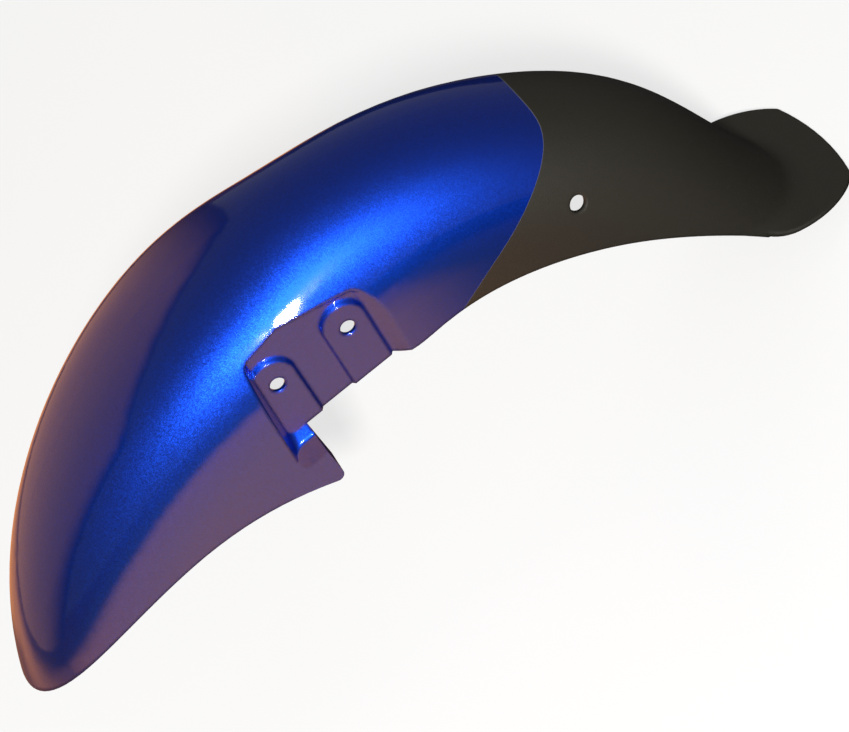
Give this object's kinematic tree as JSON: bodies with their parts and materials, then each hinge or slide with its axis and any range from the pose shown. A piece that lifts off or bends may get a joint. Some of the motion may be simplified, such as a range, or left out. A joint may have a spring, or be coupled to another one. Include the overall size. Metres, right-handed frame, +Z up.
{
  "type": "motorcycle front mudguard",
  "caption": "Arched one-piece mudguard for a motorcycle front wheel: deep front skirt, recessed fork pads, stay holes and a flared tail flap, painted blue ahead of a bare black tail.",
  "frame": {"origin": "midway between the fork bolts, on the middle plane of the mudguard", "axes": "+X rearward along the line of the fork bolts, +Y to the rider's right, +Z up, away from the wheel"},
  "size_m": [0.7009, 0.1886, 0.2825],
  "materials": {
    "mudguard": "metallic blue paint under clear coat from the nose to behind the fork recess, bare matte black plastic at the tail"
  },
  "bodies": {
    "root": {"mudguard": "mudguard"}
  },
  "joints": []
}
